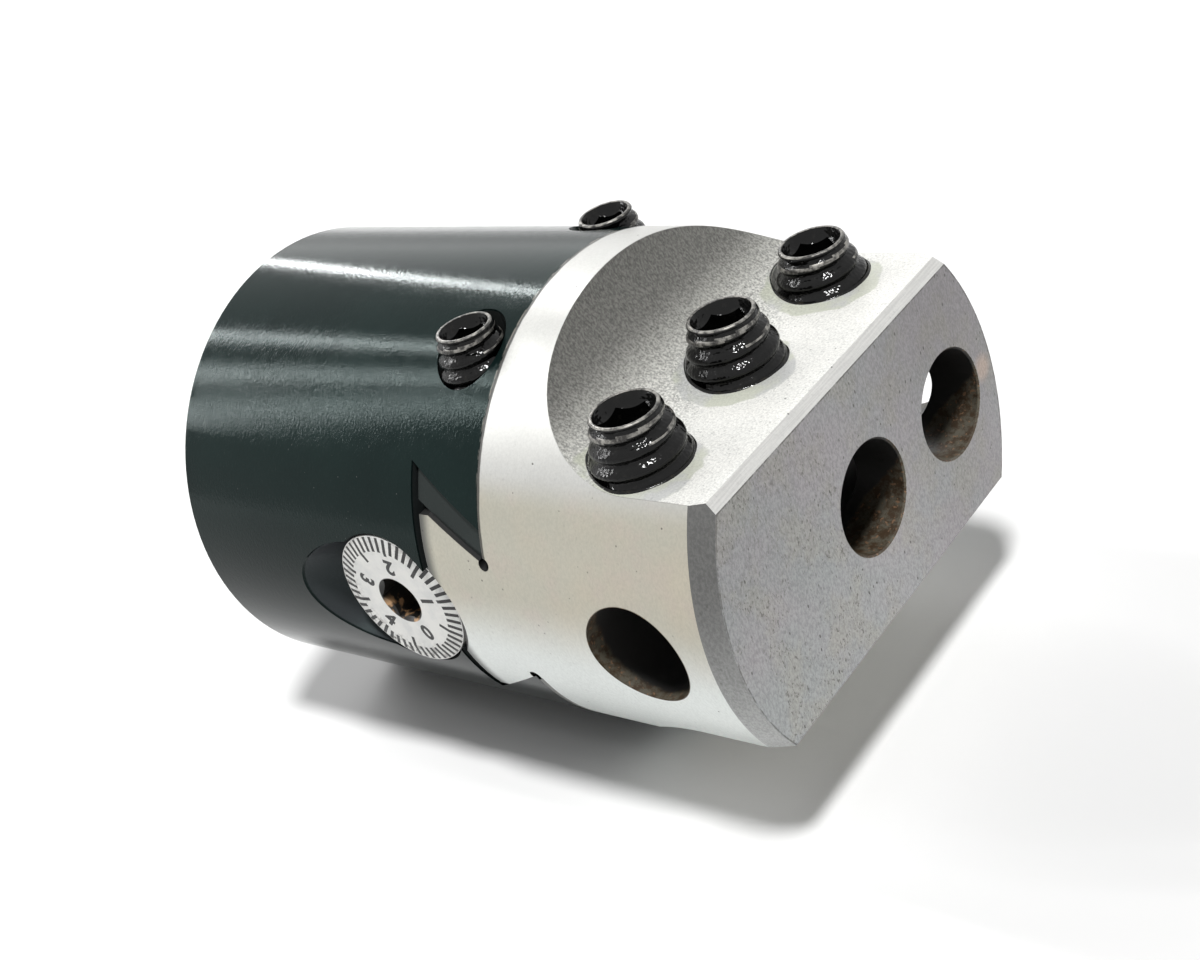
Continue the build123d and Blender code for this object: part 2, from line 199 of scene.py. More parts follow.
class Look:
    """A procedural material, built up node by node on one shader."""

    def __init__(self, name, color, metallic, roughness, specular=0.5):
        self.material = bpy.data.materials.new(name)
        self.material.use_nodes = True
        self.tree = self.material.node_tree
        self.shader = self.tree.nodes["Principled BSDF"]
        self.set("Base Color", (*color, 1))
        self.set("Metallic", metallic)
        self.set("Roughness", roughness)
        self.set("Specular IOR Level", specular)
        self.place = self.node("TexCoord").outputs["Object"]

    def node(self, kind, **settings):
        made = self.tree.nodes.new("ShaderNode" + kind)
        for key, value in settings.items():
            setattr(made, key, value)
        return made

    def plug(self, value, socket):
        """Links a node's output to a socket, or sets the socket to a plain value."""
        if isinstance(value, bpy.types.NodeSocket):
            self.tree.links.new(value, socket)
        elif socket.type == "RGBA" and len(value) == 3:
            socket.default_value = (*value, 1)
        else:
            socket.default_value = value

    def set(self, name, value):
        self.plug(value, self.shader.inputs[name])

    def stretched(self, x, y, z):
        """The object's own coordinates, stretched along each axis."""
        scaled = self.node("VectorMath", operation="MULTIPLY")
        self.plug(self.place, scaled.inputs[0])
        scaled.inputs[1].default_value = (x, y, z)
        return scaled.outputs[0]

    def noise(self, scale, detail=2.0, rough=0.5, at=None):
        made = self.node("TexNoise")
        self.plug(at or self.place, made.inputs["Vector"])
        made.inputs["Scale"].default_value = scale
        made.inputs["Detail"].default_value = detail
        made.inputs["Roughness"].default_value = rough
        return made.outputs["Fac"]

    def cells(self, scale, at=None):
        """Distance to the nearest of many scattered points."""
        made = self.node("TexVoronoi")
        self.plug(at or self.place, made.inputs["Vector"])
        made.inputs["Scale"].default_value = scale
        return made.outputs["Distance"]

    def ramp(self, value, start, end, low=0.0, high=1.0):
        """A value carried from start..end to low..high, with soft ends."""
        made = self.node("MapRange", interpolation_type="SMOOTHSTEP")
        self.plug(value, made.inputs["Value"])
        for name, number in (("From Min", start), ("From Max", end), ("To Min", low), ("To Max", high)):
            made.inputs[name].default_value = number
        return made.outputs["Result"]

    def math(self, operation, first, second):
        made = self.node("Math", operation=operation)
        self.plug(first, made.inputs[0])
        self.plug(second, made.inputs[1])
        return made.outputs[0]

    def times(self, first, second):
        return self.math("MULTIPLY", first, second)

    def mix(self, factor, first, second):
        made = self.node("MixRGB")
        self.plug(factor, made.inputs["Fac"])
        self.plug(first, made.inputs["Color1"])
        self.plug(second, made.inputs["Color2"])
        return made.outputs["Color"]

    def shade(self, color, factor):
        """A colour made darker or lighter by a factor."""
        made = self.node("VectorMath", operation="SCALE")
        self.plug(color, made.inputs[0])
        self.plug(factor, made.inputs["Scale"])
        return made.outputs[0]

    def band(self, value, start, end, soft):
        """One between start and end and nought outside, with soft edges."""
        rise = self.ramp(value, start - soft, start + soft)
        return self.times(rise, self.ramp(value, end + soft, end - soft))

    def axis_distance(self, point, axis):
        """Distance from a line through a point along X, Y or Z."""
        keep = [0.0 if name == axis else 1.0 for name in "XYZ"]
        made = self.node("VectorMath", operation="DISTANCE")
        self.plug(self.stretched(*keep), made.inputs[0])
        made.inputs[1].default_value = [k * p for k, p in zip(keep, point)]
        return made.outputs["Value"]

    def along(self, axis):
        made = self.node("SeparateXYZ")
        self.plug(self.place, made.inputs[0])
        return made.outputs[axis]

    def facing(self, axis):
        """How far the surface faces along an axis of the object."""
        made = self.node("SeparateXYZ")
        self.plug(self.node("TexCoord").outputs["Normal"], made.inputs[0])
        return made.outputs[axis]

    def scratches(self, turn, scale, length):
        """A few thin straight lines at one slant: cells stretched along it, kept in some places."""
        slanted = self.node("Mapping")
        self.plug(self.place, slanted.inputs["Vector"])
        slant = math.radians(turn)
        slanted.inputs["Rotation"].default_value = (slant, 0.6 * slant, slant)
        slanted.inputs["Scale"].default_value = (1.0, 0.02 / length, 1.0)
        thin = self.ramp(self.cells(scale, slanted.outputs["Vector"]), 0.07, 0.03)
        return self.times(thin, self.ramp(self.noise(45, 1.0), 0.60, 0.66))

    def bump(self, height, strength, depth):
        made = self.node("Bump")
        made.inputs["Strength"].default_value = strength
        made.inputs["Distance"].default_value = depth
        self.plug(height, made.inputs["Height"])
        self.set("Normal", made.outputs["Normal"])


def black_oxide():
    """Blacked steel with a green cast, with painted shade low down and painted light high up: fine grain,
    a few scratches, a worn rim with a painted highlight.
    """
    look = Look("black_oxide", (0.008, 0.014, 0.013), 0.0, 0.12, specular=0.12)
    look.set("Specular Tint", (0.70, 1.0, 0.96))
    grain = look.noise(4300, 2.0, 0.65, look.stretched(1.0, 0.5, 0.5))
    cloud = look.noise(70, 3.0, 0.55)
    color = look.mix(look.ramp(cloud, 0.3, 0.7), (0.0040, 0.0100, 0.0095), (0.0060, 0.0145, 0.0135))
    # Painted shade and light: the colour is scaled from 0.3 at the bottom of the body to 1.1 near its top
    color = look.shade(color, look.ramp(look.along("Z"), -4 * MM, 18 * MM, 0.3, 1.1))
    color = look.mix(look.times(look.ramp(grain, 0.55, 0.8), 0.4), color, (0.016, 0.024, 0.023))
    scratch = look.scratches(35, 900, 0.9)
    color = look.mix(look.times(scratch, 0.5), color, (0.16, 0.165, 0.16))

    # The scoop round the dial is milled, so it is duller and greyer. The dovetail groove is greyer too,
    # as painted light against its shade
    radius = look.axis_distance((0, 0, 0), "X")
    along_x = look.along("X")
    dial_low, dial_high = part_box("feed_screw")
    near_dial = look.ramp(look.axis_distance((dial_low + dial_high) / 2, "Y"), 17 * MM, 16 * MM)
    inner = look.ramp(radius, HEAD_R - 0.12 * MM, HEAD_R - 0.3 * MM)
    scoop = look.times(near_dial, inner)
    scoop = look.times(scoop, look.ramp(look.along("Y"), dial_low.y + 7 * MM, dial_low.y + 6 * MM))
    scoop = look.times(scoop, look.ramp(along_x, GROOVE_X + 0.1 * MM, GROOVE_X - 0.1 * MM))
    color = look.mix(scoop, color, (0.036, 0.039, 0.042))
    # Painted light: the groove's colour is lifted grey to offset its shade
    in_groove = look.times(look.ramp(along_x, GROOVE_X - 0.1 * MM, GROOVE_X + 0.1 * MM), inner)
    color = look.mix(in_groove, color, (0.030, 0.034, 0.033))

    # Bright wear and a painted highlight on the upper rim at the joint, only near the top
    at_rim = look.ramp(radius, HEAD_R - 0.22 * MM, HEAD_R - 0.02 * MM)
    at_joint = look.ramp(along_x, JOINT_X - 0.20 * MM, JOINT_X - 0.05 * MM)
    worn = look.times(look.times(at_rim, at_joint), look.ramp(look.noise(600, 3.0), 0.46, 0.6))
    worn = look.times(worn, look.ramp(look.along("Z"), 13 * MM, 16 * MM))
    color = look.mix(worn, color, (0.30, 0.28, 0.25))
    look.set("Base Color", color)
    shine = look.ramp(look.noise(800, 3.0), 0.3, 0.7, 0.08, 0.14)
    look.set("Roughness", look.math("ADD", shine, look.times(scoop, 0.25)))
    look.bump(look.math("SUBTRACT", grain, look.times(scratch, 0.5)), 0.6, 0.026 * MM)
    return look.material


def film_round_screws(look, color, patch, level):
    """Grey-green film that has crept out round the clamp screws on the slide's flat, shifted to one side
    as a painted shadow of each screw.
    """
    film_and_shadow_color = look.mix(look.ramp(patch, 0.42, 0.58), (0.50, 0.53, 0.40), (0.47, 0.48, 0.48))
    above = look.ramp(look.along("Z"), FLAT_Z - 1.0 * MM, FLAT_Z - 0.1 * MM)
    for node in CLAMP_SCREWS:
        low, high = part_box(node)
        # Painted shadow: each patch is centred off its screw, towards where the screw's shadow falls
        reach = look.axis_distance((low + high) / 2 + FILM_SHADOW_SHIFT, "Z")
        edge = look.math("ADD", reach, look.times(look.noise(260, 3.0), 2.6 * MM))
        film = look.times(look.ramp(edge, 7.3 * MM, 6.95 * MM), look.times(above, level))
        color = look.mix(look.times(film, 0.6), color, film_and_shadow_color)
    return color


def stained_bores(look, color):
    """Bores: grey and rusty near the mouth, further in towards the bottom, and black with oil and painted
    shade beyond.
    """
    along_z = look.along("Z")
    stain = look.ramp(look.noise(900, 4.0, 0.75), 0.40, 0.60)
    rust = look.mix(stain, (0.11, 0.10, 0.075), (0.055, 0.034, 0.018))
    rust = look.mix(look.ramp(look.noise(2300, 2.0), 0.60, 0.68), rust, (0.22, 0.13, 0.075))
    cross = (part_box("clamp_screw_cross")[0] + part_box("clamp_screw_cross")[1]) / 2
    cross.z = CROSS_Z
    offset = (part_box("clamp_screw_offset")[0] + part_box("clamp_screw_offset")[1]) / 2
    offset.z = 0
    ragged = look.times(look.noise(420, 3.0), 1.6 * MM)
    from_face = look.math("ADD", look.math("SUBTRACT", FACE_X, look.along("X")), ragged)
    from_side = look.math("SUBTRACT", HEAD_R, look.math("ABSOLUTE", look.along("Y"), 0.0))
    from_side = look.math("ADD", from_side, ragged)
    # Painted shade: past a depth that grows towards the bottom of each bore, as if lit from above, the
    # walls are black
    face_shade_depth = look.ramp(along_z, 1.5 * MM, -BAR_R, 0.5 * MM, 6.0 * MM)
    side_shade_depth = look.ramp(along_z, BAR_R, -BAR_R, 1.8 * MM, 2.6 * MM)
    past_face = look.math("SUBTRACT", from_face, face_shade_depth)
    past_side = look.math("SUBTRACT", from_side, side_shade_depth)
    bores = (
        ((0, 0, 0), "X", past_face, FACE_MOUTH),
        (offset, "X", past_face, FACE_MOUTH),
        (cross, "Y", past_side, SIDE_MOUTH),
    )
    for point, axis, beyond, mouth in bores:
        wall_r = BAR_R + mouth
        wall = look.ramp(look.axis_distance(point, axis), wall_r + 0.03 * MM, wall_r - 0.03 * MM)
        grime_and_shade = look.mix(look.ramp(beyond, 0.0, 0.6 * MM), rust, (0.024, 0.023, 0.022))
        color = look.mix(wall, color, grime_and_shade)
    return color


def satin_steel():
    """The slide: satin turned side with painted reflection and shade, blasted and pitted faces, scallops
    darkened with painted shade, stained bores with painted shade inside.
    """
    look = Look("satin_steel", (0.72, 0.70, 0.66), 0.6, 0.42)
    radius = look.axis_distance((0, 0, 0), "X")
    along_x = look.along("X")
    along_z = look.along("Z")
    facing_x = look.facing("X")
    facing_z = look.facing("Z")
    cloud = look.noise(60, 3.0, 0.6)
    patch = look.noise(190, 3.0, 0.6)
    broken = look.ramp(look.noise(900, 3.0, 0.6), 0.36, 0.52)
    grain_place = look.stretched(1.0, 1.0, 0.55)

    # Turned side, flats with their scallops, and the tool face, which painted shade makes darker upwards
    # and away from the dial
    inner = look.ramp(radius, HEAD_R - 0.02 * MM, HEAD_R - 0.08 * MM)
    level = look.times(inner, look.ramp(facing_z, 0.25, 0.95))
    at_face = look.ramp(along_x, FACE_X - 1.5 * MM, FACE_X - 1.2 * MM)
    on_face = look.times(look.ramp(facing_x, 0.9, 0.97), at_face)
    # Painted reflection and shade on the turned side: warm and darker above, cool and lighter below, a
    # little darker at the very bottom, with random patches
    upper_reflection_tone = look.mix(look.ramp(cloud, 0.38, 0.62), (0.50, 0.46, 0.375), (0.47, 0.455, 0.385))
    upper_reflection_tone = look.mix(look.times(look.ramp(patch, 0.5, 0.68), 0.5), upper_reflection_tone, (0.50, 0.44, 0.385))
    lower_reflection_tone = look.mix(look.ramp(along_z, -5 * MM, -13 * MM), (0.73, 0.76, 0.74), (0.62, 0.65, 0.63))
    side = look.mix(look.ramp(along_z, 4 * MM, -5 * MM), upper_reflection_tone, lower_reflection_tone)
    # Painted shade: above the flat's height the side is darker
    side = look.mix(look.ramp(along_z, 12 * MM, 15 * MM), side, (0.52, 0.52, 0.50))
    flat = look.mix(look.ramp(patch, 0.35, 0.65), (0.95, 0.945, 0.90), (0.90, 0.90, 0.86))
    # Painted shade: the scallops are darker than the flat, and darker still towards their top
    scallop_shade = look.ramp(along_x, SCALLOP_END_X + 2.0 * MM, JOINT_X + 4.0 * MM)
    flat = look.mix(look.times(scallop_shade, 0.9), flat, (0.43, 0.425, 0.385))
    flat = look.shade(flat, look.ramp(along_z, FLAT_Z + 1 * MM, FLAT_Z + 6 * MM, 1.0, 0.38))
    face = look.mix(look.ramp(cloud, 0.36, 0.64), (0.445, 0.425, 0.437), (0.41, 0.425, 0.425))
    face = look.mix(look.times(look.ramp(patch, 0.45, 0.65), 0.5), face, (0.46, 0.445, 0.395))
    # Painted shade: the tool face is darker towards its top and away from the dial
    face = look.shade(face, look.ramp(along_z, -12 * MM, 12 * MM, 1.0, 0.77))
    face = look.shade(face, look.ramp(look.along("Y"), -4 * MM, 18 * MM, 1.0, 0.78))
    peach = look.ramp(look.axis_distance(PEACH_STAIN, "X"), 2.0 * MM, 0.6 * MM, 0.0, 0.5)
    face = look.mix(peach, face, (0.60, 0.44, 0.34))
    color = look.mix(inner, side, flat)
    color = look.mix(on_face, color, face)

    # Turned strip round the face, dark with painted shade that deepens upwards, the bright chamfer under
    # the flat, and dark lines along both
    by_face = look.ramp(along_x, FACE_X - 2.6 * MM, FACE_X - 2.4 * MM)
    strip = look.times(look.band(facing_x, 0.235, 0.5, 0.04), by_face)
    height = look.ramp(along_z, -12 * MM, 9 * MM)
    strip_shade_color = look.mix(height, (0.40, 0.405, 0.40), (0.15, 0.15, 0.146))
    color = look.mix(strip, color, strip_shade_color)
    chamfer = look.times(look.band(facing_x, 0.6, 0.82, 0.04), look.band(facing_z, 0.6, 0.82, 0.04))
    chamfer = look.times(chamfer, look.ramp(along_x, FACE_X - 1.4 * MM, FACE_X - 1.2 * MM))
    grooves = look.noise(6500, 2.0, 0.6, look.stretched(1.0, 0.03, 1.0))
    lines = look.ramp(grooves, 0.35, 0.65, 0.86, 1.0)
    color = look.mix(chamfer, color, look.shade((0.78, 0.775, 0.75), lines))
    chamfer_z = FLAT_Z - FLAT_CHAMFER
    under_flat = look.ramp(along_z, chamfer_z - 0.22 * MM, chamfer_z - 0.10 * MM)
    by_strip = look.band(radius, HEAD_R - 0.98 * MM, HEAD_R - 0.84 * MM, 0.06 * MM)
    line = look.times(look.times(look.math("MAXIMUM", under_flat, by_strip), on_face), broken)
    color = look.mix(look.times(line, 0.75), color, (0.10, 0.096, 0.09))

    # Fine grain, dark specks in clusters and pits on the blasted faces, few of them on the turned side
    blasted = look.ramp(inner, 0.0, 1.0, 0.12, 1.0)
    blasted = look.times(blasted, look.ramp(strip, 0.0, 1.0, 1.0, 0.4))
    bright = look.times(level, look.ramp(along_x, SCALLOP_END_X - 6.0 * MM, SCALLOP_END_X + 2.0 * MM))
    blasted = look.times(blasted, look.ramp(bright, 0.0, 1.0, 1.0, 0.4))
    blasted = look.times(blasted, look.ramp(chamfer, 0.0, 1.0, 1.0, 0.2))
    grain = look.noise(4400, 3.0, 0.7, grain_place)
    rough = look.times(blasted, look.ramp(on_face, 0.0, 1.0, 1.0, 0.4))
    spread = look.times(rough, look.ramp(grain, 0.34, 0.66, -0.48, 0.26))
    color = look.shade(color, look.math("ADD", 1.0, spread))
    worn_side = look.ramp(look.along("Y"), 14 * MM, -10 * MM, 0.15, 1.0)
    dense = look.times(look.ramp(patch, 0.36, 0.62, 0.2, 1.0), look.mix(on_face, (1, 1, 1), worn_side))
    specks = look.times(look.ramp(look.noise(3800, 2.0, 0.65, grain_place), 0.59, 0.66), dense)
    color = look.mix(look.times(specks, look.times(blasted, 0.75)), color, DARK_SPECK)
    pits = look.ramp(look.cells(1500, grain_place), 0.20, 0.11)
    pits = look.times(pits, look.ramp(look.noise(330, 3.0), 0.50, 0.60))
    few = look.times(look.ramp(look.cells(620), 0.085, 0.05), look.ramp(look.noise(120, 2.0), 0.45, 0.6))
    pits = look.math("MAXIMUM", look.times(pits, blasted), few)
    color = look.mix(look.times(pits, 0.8), color, (0.08, 0.077, 0.07))
    scratch = look.scratches(-50, 700, 1.2)
    color = look.mix(look.times(scratch, 0.6), color, DARK_SPECK)

    # End of the dovetail darkened by grime and painted shade, black oil and painted shade on its flanks
    # and in its neck's reliefs, grime along the joint, widened low down by painted shade
    # Grime and painted shade darken the dovetail's end over its last 1.6 mm
    end = look.ramp(along_x, DOVETAIL_X + 1.6 * MM, DOVETAIL_X + 0.05 * MM, 0.0, 0.9)
    color = look.mix(end, color, (0.07, 0.073, 0.07))
    # Black oil and painted shade on the dovetail's flanks hidden in the body
    hidden = look.ramp(along_x, JOINT_X + 0.75 * MM, JOINT_X + 0.68 * MM)
    hidden = look.times(hidden, look.ramp(radius, HEAD_R - 0.01 * MM, HEAD_R - 0.05 * MM))
    color = look.mix(hidden, color, (0.008, 0.008, 0.008))
    # Dark line along the joint, widened below the neck by painted shade
    from_neck = look.math("SUBTRACT", along_z, (NECK_LOW_Z + NECK_HIGH_Z) / 2)
    off_neck = look.math("ABSOLUTE", from_neck, 0.0)
    half_neck = (NECK_HIGH_Z - NECK_LOW_Z) / 2
    width = look.ramp(along_z, NECK_LOW_Z, NECK_HIGH_Z, 0.7 * MM, 0.25 * MM)
    width = look.math("ADD", width, look.times(look.noise(500, 3.0), 0.2 * MM))
    uneven = look.math("SUBTRACT", along_x, width)
    joint = look.ramp(uneven, JOINT_X + 0.05 * MM, JOINT_X - 0.1 * MM)
    joint = look.times(joint, look.ramp(along_x, JOINT_X - 0.02 * MM, JOINT_X))
    joint = look.times(joint, look.ramp(off_neck, half_neck, half_neck + 0.4 * MM))
    color = look.mix(look.times(joint, 0.9), color, (0.022, 0.019, 0.014))
    away_from_joint_and_flanks = look.math("SUBTRACT", 1.0, look.math("MAXIMUM", joint, hidden))
    color = film_round_screws(look, color, patch, level)
    look.set("Base Color", stained_bores(look, color))

    # The places darkened by grime and painted shade, the scallops and the flats don't shine as metal does
    scallop = look.times(inner, look.ramp(along_x, SCALLOP_END_X + 1.0 * MM, SCALLOP_END_X))
    ground = look.math("SUBTRACT", away_from_joint_and_flanks, look.times(away_from_joint_and_flanks, scallop))
    look.set("Metallic", look.times(ground, look.ramp(level, 0.0, 1.0, 0.6, 0.0)))
    shine = look.ramp(patch, 0.3, 0.7, 0.34, 0.42)
    look.set("Roughness", look.math("ADD", shine, look.times(blasted, 0.1)))
    look.bump(look.math("SUBTRACT", look.times(grain, 0.8), look.times(pits, 2.0)), 0.4, 0.025 * MM)
    return look.material


def dial_steel():
    """Pale satin dial, turned about its own axis, grimy at the rim, its socket black with oil and painted
    shade, rusty low down with a painted glint.
    """
    look = Look("dial_steel", (0.78, 0.78, 0.75), 0.15, 0.42)
    low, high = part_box("feed_screw")
    centre = (low + high) / 2
    radius = look.axis_distance(centre, "Y")
    rings = look.node("TexNoise", noise_dimensions="1D")
    look.plug(look.times(radius, 9000.0), rings.inputs["W"])
    cloud = look.noise(500, 3.0, 0.6)
    color = look.mix(look.ramp(cloud, 0.35, 0.7), (0.80, 0.795, 0.765), (0.70, 0.705, 0.69))
    smear = look.ramp(look.noise(900, 4.0, 0.7), 0.48, 0.64)
    smear = look.times(smear, look.ramp(radius, 4.8 * MM, 7.2 * MM))
    across = look.math("ADD", look.along("X"), look.along("Z"))
    middle = centre.x + centre.z
    rubbed = look.ramp(across, middle - 1 * MM, middle - 8 * MM, 0.25, 1.0)
    color = look.mix(look.times(smear, rubbed), color, (0.13, 0.12, 0.105))
    # The socket and its mouth are black with oil and painted shade; the rust low down also serves as a
    # painted glint
    inside = look.ramp(radius, SOCKET_R + 0.06 * MM, SOCKET_R - 0.04 * MM)
    low_down = look.ramp(look.along("Z"), centre.z, centre.z - 1.2 * MM)
    rust_and_glint = look.times(look.ramp(look.noise(650, 3.0), 0.48, 0.60), low_down)
    grime_and_shade = look.mix(rust_and_glint, (0.010, 0.009, 0.008), (0.55, 0.33, 0.17))
    look.set("Base Color", look.mix(inside, color, grime_and_shade))
    look.set("Roughness", look.ramp(cloud, 0.3, 0.7, 0.36, 0.48))
    look.bump(rings.outputs["Fac"], 0.15, 0.01 * MM)
    return look.material


def black_screw():
    """Blacked screw, wet with oil: lumps in the oil catch small sharp lights."""
    look = Look("black_screw", (0.004, 0.004, 0.004), 0.0, 0.12, specular=0.25)
    film = look.noise(1300, 3.0, 0.6)
    color = look.mix(look.ramp(film, 0.55, 0.75), (0.003, 0.003, 0.003), (0.012, 0.0115, 0.010))
    look.set("Base Color", color)
    look.set("Roughness", look.ramp(film, 0.3, 0.7, 0.06, 0.16))
    look.bump(look.noise(3000, 0.0), 0.8, 0.07 * MM)
    return look.material


def worn_steel():
    """Rubbed lip of a screw, where keys have taken the black off."""
    look = Look("worn_steel", (0.20, 0.195, 0.18), 0.5, 0.34)
    rub = look.noise(1300, 4.0, 0.7)
    color = look.mix(look.ramp(rub, 0.40, 0.62), (0.05, 0.048, 0.045), (0.30, 0.29, 0.265))
    look.set("Base Color", color)
    look.set("Roughness", look.ramp(rub, 0.3, 0.7, 0.26, 0.42))
    look.bump(rub, 0.3, 0.02 * MM)
    return look.material


def bronze():
    """Machined bronze of the nut, dulled in patches."""
    look = Look("bronze", (0.55, 0.36, 0.16), 0.85, 0.38)
    cloud = look.noise(500, 4.0, 0.65)
    color = look.mix(look.ramp(cloud, 0.35, 0.7), (0.58, 0.38, 0.17), (0.30, 0.19, 0.09))
    look.set("Base Color", color)
    look.set("Roughness", look.ramp(cloud, 0.3, 0.7, 0.32, 0.5))
    look.bump(look.noise(1.0, 3.0, 0.7, look.stretched(500, 5000, 500)), 0.2, 0.02 * MM)
    return look.material


def mark_ink():
    """Black filling of the dial's marks, a little broken by wear."""
    look = Look("mark_ink", (0.010, 0.010, 0.010), 0.0, 0.5)
    wear = look.noise(2600, 3.0, 0.6)
    color = look.mix(look.ramp(wear, 0.62, 0.75), (0.010, 0.010, 0.010), (0.16, 0.16, 0.155))
    look.set("Base Color", color)
    look.set("Roughness", look.ramp(wear, 0.3, 0.7, 0.4, 0.6))
    return look.material


def oil():
    """Old oil: nearly black and glossy, browner where it is thin."""
    look = Look("oil", (0.006, 0.006, 0.005), 0.0, 0.14, specular=0.25)
    film = look.noise(1100, 3.0, 0.6)
    color = look.mix(look.ramp(film, 0.5, 0.72), (0.004, 0.004, 0.004), (0.022, 0.019, 0.013))
    look.set("Base Color", color)
    look.set("Roughness", look.ramp(film, 0.3, 0.7, 0.10, 0.24))
    look.bump(look.noise(1700, 3.0, 0.6), 0.5, 0.08 * MM)
    return look.material


MATERIALS = {
    "black_oxide": black_oxide(),
    "satin_steel": satin_steel(),
    "dial_steel": dial_steel(),
    "black_screw": black_screw(),
    "worn_steel": worn_steel(),
    "bronze": bronze(),
    "mark_ink": mark_ink(),
    "oil": oil(),
}


def dress_frame():
    """Each node of the frame gets the looks of its slot."""
    for part in frame["record"]["subparts"]:
        mesh = nodes[part["node"]].data
        mesh.materials.clear()
        mesh.materials.append(MATERIALS[part["material_slot"]])


def ring_grid(rows):
    """Faces between rows of points that each go once round."""
    faces = []
    for row in range(rows - 1):
        for side in range(SIDES):
            after = (side + 1) % SIDES
            below, above = row * SIDES, (row + 1) * SIDES
            faces.append((below + side, below + after, above + after, above + side))
    return faces


def groove(turns):
    """Depth share of a thread's groove, its corners rounded by oil."""
    return (0.5 - 0.5 * math.cos(2 * math.pi * turns)) ** 1.4


def make_screw(node, body, form, dog):
    """A threaded set screw with a hexagon socket, within the outline of its solid."""
    low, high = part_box(node)
    centre = (low + high) / 2
    crest_r = (high.x - low.x) / 2
    top, pitch, ring_r, taper = high.z, form["pitch"], form["ring_r"], form["taper"]
    start = low.z + (DOG_LENGTH if dog else 0.0)
    angles = [2 * math.pi * k / SIDES for k in range(SIDES)]
    sector = math.pi / 3
    hex_r = [form["flats"] / 2 / math.cos((a + sector / 2) % sector - sector / 2) for a in angles]
    mouth_r = ring_r - LIP
    full_depth = THREAD_DEPTH * pitch

    def outline(z):
        return min(crest_r, ring_r + (top - z) / taper * (crest_r - ring_r))

    def circle(r, z):
        return [(r, z)] * SIDES

    if dog:
        rows = [circle(0.3 * DOG_R, low.z), circle(0.9 * DOG_R, low.z)]
        rows += [circle(DOG_R, low.z + 0.1 * DOG_R), circle(DOG_R, start)]
    else:
        rows = [circle(0.3 * crest_r, start + 0.3 * MM), circle(0.7 * crest_r, start)]

    # Thread, shallower low down where oil fills it, and worn on its first crest
    thread_top = top - THREAD_TOP_GAP
    worn = set()
    count = math.ceil((thread_top - start) / pitch * ROWS_PER_PITCH)
    for step in range(count + 1):
        z = start + (thread_top - start) * step / count
        filled = max(THREAD_FILLED, 1 - (1 - THREAD_FILLED) * (top - z) / taper)
        run_out = min(1.0, (thread_top - z) / (0.3 * pitch), (z - start) / (0.5 * pitch) + 0.3)
        depth = filled * full_depth * run_out
        shares = [groove(z / pitch - a / (2 * math.pi)) for a in angles]
        if top - 1.5 * pitch < z < top - 0.4 * pitch:
            worn |= {(len(rows), side) for side, share in enumerate(shares) if share < CREST_SHARE}
        rows.append([(outline(z) - depth * share, z) for share in shares])

    # Top ring, round mouth and hexagon
    ring_start = len(rows)
    for inward, down in LIP_PROFILE:
        rows.append(circle(ring_r - inward * MM, top - down * MM))
    rows.append(circle(mouth_r + MOUTH_EDGE, top))
    rows.append(circle(mouth_r, top - MOUTH_EDGE))
    ring_end = len(rows) - 1
    wall_r = mouth_r - MOUTH_TAPER
    rows.append(circle(wall_r, top - MOUTH_DEPTH))
    socket_r = [min(r, wall_r - MOUTH_EDGE) for r in hex_r]
    rows.append([(r, top - MOUTH_DEPTH - (wall_r - r)) for r in socket_r])
    rows.append([(r, top - HEX_DEPTH + HEX_CONE) for r in socket_r])
    rows.append([(0.5 * r, top - HEX_DEPTH) for r in socket_r])

    verts = []
    for row in rows:
        for angle, (r, z) in zip(angles, row):
            verts.append((centre.x + r * math.cos(angle), centre.y + r * math.sin(angle), z))
    faces = ring_grid(len(rows))
    faces.append(tuple(reversed(range(SIDES))))
    faces.append(tuple(range((len(rows) - 1) * SIDES, len(rows) * SIDES)))
    looks = (MATERIALS["black_screw"], MATERIALS["worn_steel"])
    screw = new_piece(node + "_threaded", verts, faces, looks, body)
    for index, polygon in enumerate(screw.data.polygons):
        row, side = divmod(index, SIDES)
        on_ring = ring_start <= row < ring_end
        polygon.material_index = 1 if on_ring or (row, side) in worn else 0
    smooth(screw.data, 40)
    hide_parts(node)


def flat_height(x):
    """Height of the slide's upper flat and of the scallop that it ends in."""
    if x >= SCALLOP_END_X:
        return FLAT_Z
    return FLAT_Z + SCALLOP_R - math.sqrt(SCALLOP_R**2 - (SCALLOP_END_X - x) ** 2)


def make_oil_ring(node, turn):
    """Oil that stands round a clamp screw where it enters the slide, with an uneven edge."""
    low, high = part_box(node)
    centre = (low + high) / 2
    inner_r = (high.x - low.x) / 2 + SCREW_GAP
    verts = []
    for share, rise in OIL_PROFILE:
        for side in range(SIDES):
            angle = 2 * math.pi * side / SIDES
            uneven = math.sin(3 * angle + turn) + 0.7 * math.sin(5 * angle + 2 * turn)
            width = (OIL_WIDTH + OIL_WAVER * (uneven + 0.4 * math.sin(11 * angle))) * MM
            r = inner_r + share * width
            x = centre.x + r * math.cos(angle)
            y = centre.y + r * math.sin(angle)
            sunk = OIL_SUNK if share == 1.0 else 0.0
            verts.append((x, y, flat_height(x) + rise * MM - sunk))
    name = node.replace("clamp_screw", "oil_ring")
    faces = ring_grid(len(OIL_PROFILE))
    ring = new_piece(name, verts, faces, (MATERIALS["oil"],), "tool_slide")
    ring.data.flip_normals()
    smooth(ring.data, 80)


